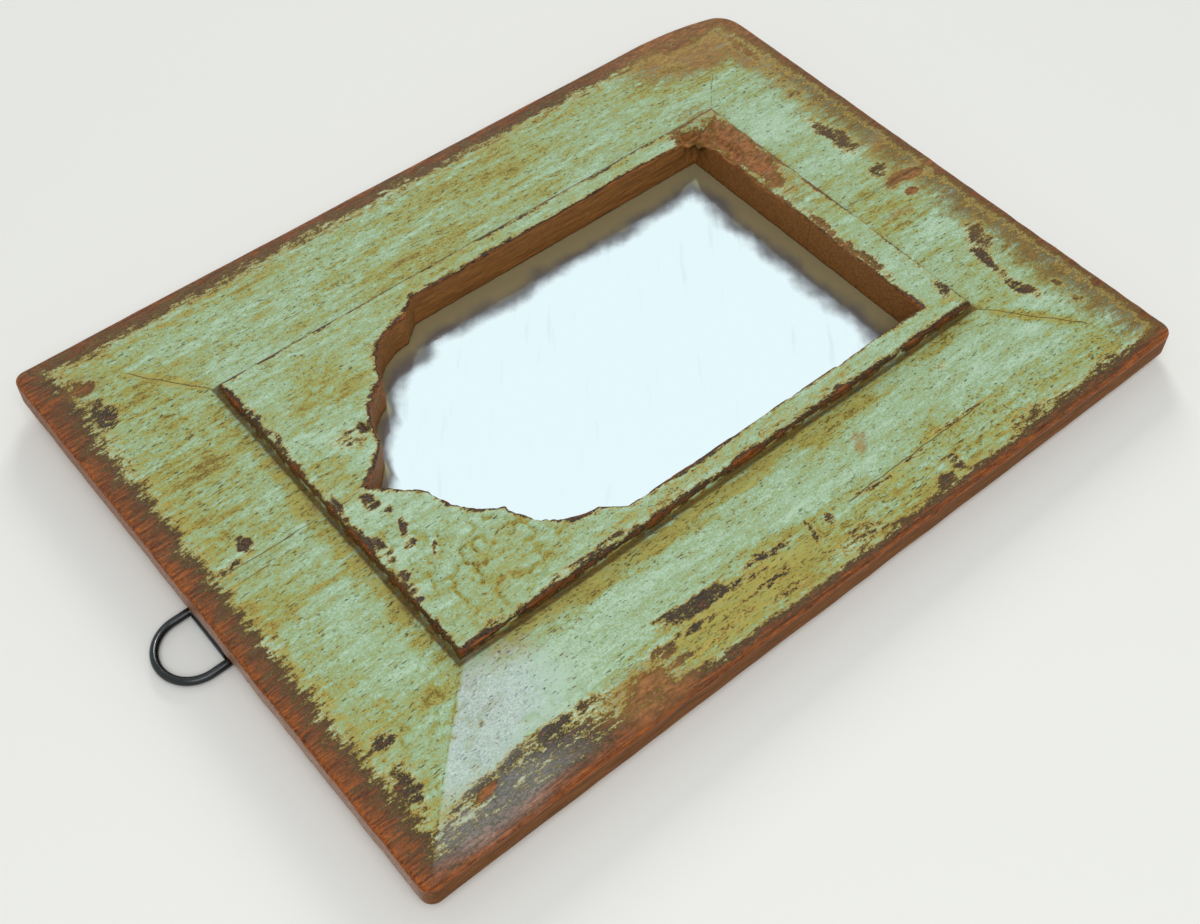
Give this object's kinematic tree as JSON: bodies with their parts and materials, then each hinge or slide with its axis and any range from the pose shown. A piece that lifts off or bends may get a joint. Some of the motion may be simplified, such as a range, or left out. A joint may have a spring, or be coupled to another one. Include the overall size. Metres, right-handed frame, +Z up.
{
  "type": "wall mirror",
  "caption": "Wall mirror in a fielded panel of worn green-painted wood, with a cusped arch opening over the glass and a wire hanging ring at the top of its back.",
  "frame": {"origin": "on the backing board's rear face, at the middle of the panel's width and height", "axes": "+X right across the face, +Y from the face to the wall, +Z up towards the hanging ring"},
  "size_m": [0.24, 0.0212, 0.3428],
  "materials": {
    "painted_wood": "old green paint worn through to brown wood",
    "peg_wood": "bare bamboo",
    "silvered_glass": "polished, with dull margins",
    "card": "grey-brown card",
    "hardboard": "bare hardboard, smooth",
    "nail_steel": "dulled and rusted",
    "black_steel": "black enamel"
  },
  "bodies": {
    "mirror": {"board_left": "painted_wood", "board_right": "painted_wood", "joint_pegs": "peg_wood", "mirror_glass": "silvered_glass", "packing_card": "card", "backing_board": "hardboard", "backing_nails": "nail_steel", "hanger_strap": "black_steel", "hanger_screws": "black_steel"},
    "ring": {"hanger_ring": "black_steel"}
  },
  "joints": [
    {"name": "ring_swing", "type": "hinge", "parent": "mirror", "child": "ring", "pos_m": [-0.0036, -0.0002, 0.16], "axis": [1, 0, 0], "range_deg": [-172, 28]}
  ]
}
